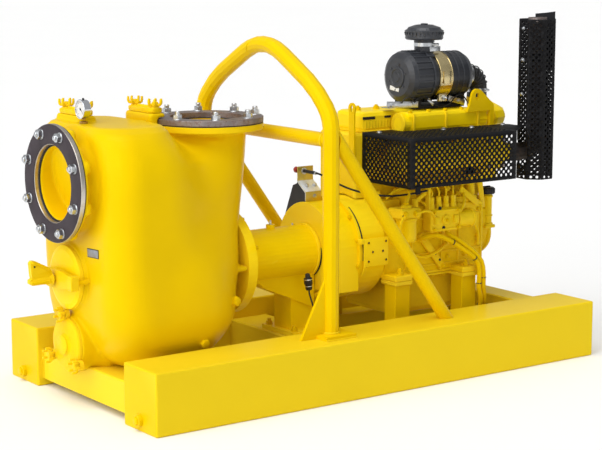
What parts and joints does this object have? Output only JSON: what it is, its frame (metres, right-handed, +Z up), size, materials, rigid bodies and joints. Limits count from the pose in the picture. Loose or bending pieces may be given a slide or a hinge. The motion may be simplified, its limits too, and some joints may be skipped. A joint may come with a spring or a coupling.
{
  "type": "engine driven pump",
  "caption": "Self-priming centrifugal pump with flanged ports, coupled to a diesel engine on a beam skid with a tubular lifting bail, filler lids and perforated exhaust guards.",
  "frame": {"origin": "centre of the bounding box, on the ground under the skid beams", "axes": "+X along the shaft from the pump to the engine, so the suction flange faces -X; +Y towards the side away from the exhaust; +Z up"},
  "size_m": [1.803, 0.871, 1.1092],
  "materials": {
    "yellow_paint": "gloss",
    "flange_face": "satin",
    "bare_steel": "lightly rusted",
    "yellow_zinc": "passivated",
    "black_steel": "satin",
    "black_plastic": "matte",
    "gilt_band": "polished",
    "chrome": "polished",
    "red_plastic": "gloss"
  },
  "bodies": {
    "pump_set": {"air_cleaner": "black_plastic", "air_cleaner_band": "gilt_band", "air_cleaner_bracket": "black_steel", "air_outlet": "black_plastic", "bearing_bracket": "yellow_paint", "bearing_cross_member": "yellow_paint", "bell_housing": "yellow_paint", "casing_cross_member": "yellow_paint", "cleanout_cover": "yellow_paint", "control_box": "black_plastic", "control_bracket": "yellow_zinc", "coupling": "black_plastic", "discharge_flange": "bare_steel", "engine_block": "yellow_paint", "exhaust_guard": "black_steel", "exhaust_pipe": "bare_steel", "far_brace": "yellow_paint", "far_engine_support": "yellow_paint", "far_skid_beam": "yellow_paint", "flywheel_housing": "yellow_paint", "front_cross_member": "yellow_paint", "front_filler_lid": "yellow_paint", "front_lifting_eye": "yellow_paint", "fuel_filter": "yellow_paint", "hand_hole_cover": "yellow_paint", "hand_hole_yoke": "yellow_paint", "injection_pump": "yellow_paint", "intake_manifold": "yellow_paint", "lifting_bail": "yellow_paint", "lower_engine_hose": "yellow_paint", "near_brace": "yellow_paint", "near_engine_support": "yellow_paint", "near_skid_beam": "yellow_paint", "oil_filler_cap": "black_plastic", "oil_sump": "yellow_paint", "pre_cleaner": "black_plastic", "pressure_gauge": "chrome", "pump_casing": "yellow_paint", "rear_cross_member": "yellow_paint", "rear_filler_lid": "yellow_paint", "rear_lifting_eye": "yellow_paint", "rocker_cover": "yellow_paint", "stack_clamp": "black_steel", "stack_guard": "black_steel", "stop_cable": "black_plastic", "suction_flange": "flange_face", "timing_cover": "yellow_paint", "upper_engine_hose": "yellow_paint"},
    "clamp_screw": {"hand_hole_screw": "yellow_paint"},
    "stop_control": {"stop_knob": "red_plastic"}
  },
  "joints": [
    {"name": "hand_hole_screw_turn", "type": "hinge", "parent": "pump_set", "child": "clamp_screw", "pos_m": [-0.885, 0.025, 0.378], "axis": [1, 0, 0], "continuous": true},
    {"name": "stop_knob_pull", "type": "slide", "parent": "pump_set", "child": "stop_control", "axis": [0, 1, 0], "range_m": [0, 0.03]}
  ]
}
